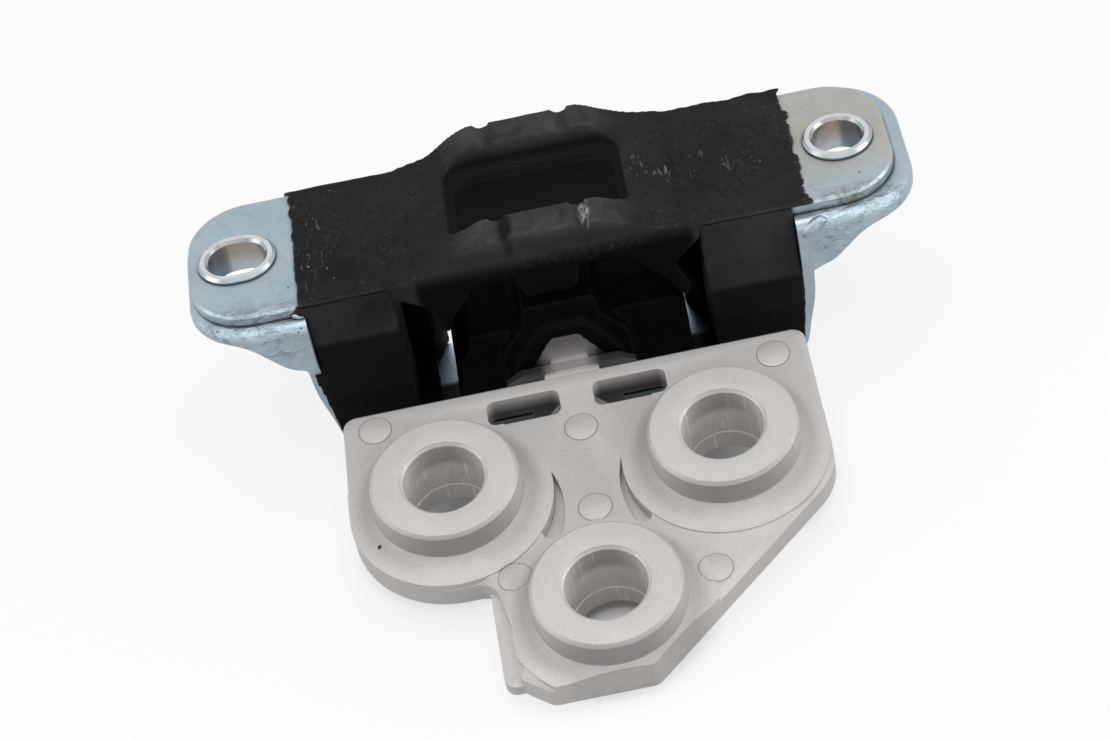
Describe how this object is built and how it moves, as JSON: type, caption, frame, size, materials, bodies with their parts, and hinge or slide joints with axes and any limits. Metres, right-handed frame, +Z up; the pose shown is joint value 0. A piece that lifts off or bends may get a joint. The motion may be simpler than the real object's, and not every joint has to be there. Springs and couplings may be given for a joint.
{
  "type": "engine mount",
  "caption": "Engine or gearbox mount: zinc-plated steel cradle with bolted ears, bonded rubber spring and rebound strap, cast aluminium bracket with ringed bosses.",
  "frame": {"origin": "middle of the bounding box's underside, on the surface that the mount stands on", "axes": "+X along the line of the two ear holes, +Y away from the bracket, +Z up, square to the ears"},
  "size_m": [0.1556, 0.1246, 0.0575],
  "materials": {
    "zinc_steel": "zinc plated, satin",
    "bright_steel": "zinc plated, rolled bright",
    "rubber": "moulded natural rubber, satin",
    "cast_aluminium": "as cast, fine grain"
  },
  "bodies": {
    "root": {"lower_cradle": "zinc_steel", "upper_plate": "zinc_steel", "left_collar": "bright_steel", "right_collar": "bright_steel", "upper_rubber": "rubber", "left_buffer": "rubber", "right_buffer": "rubber", "main_spring": "rubber", "bracket": "cast_aluminium"}
  },
  "joints": []
}
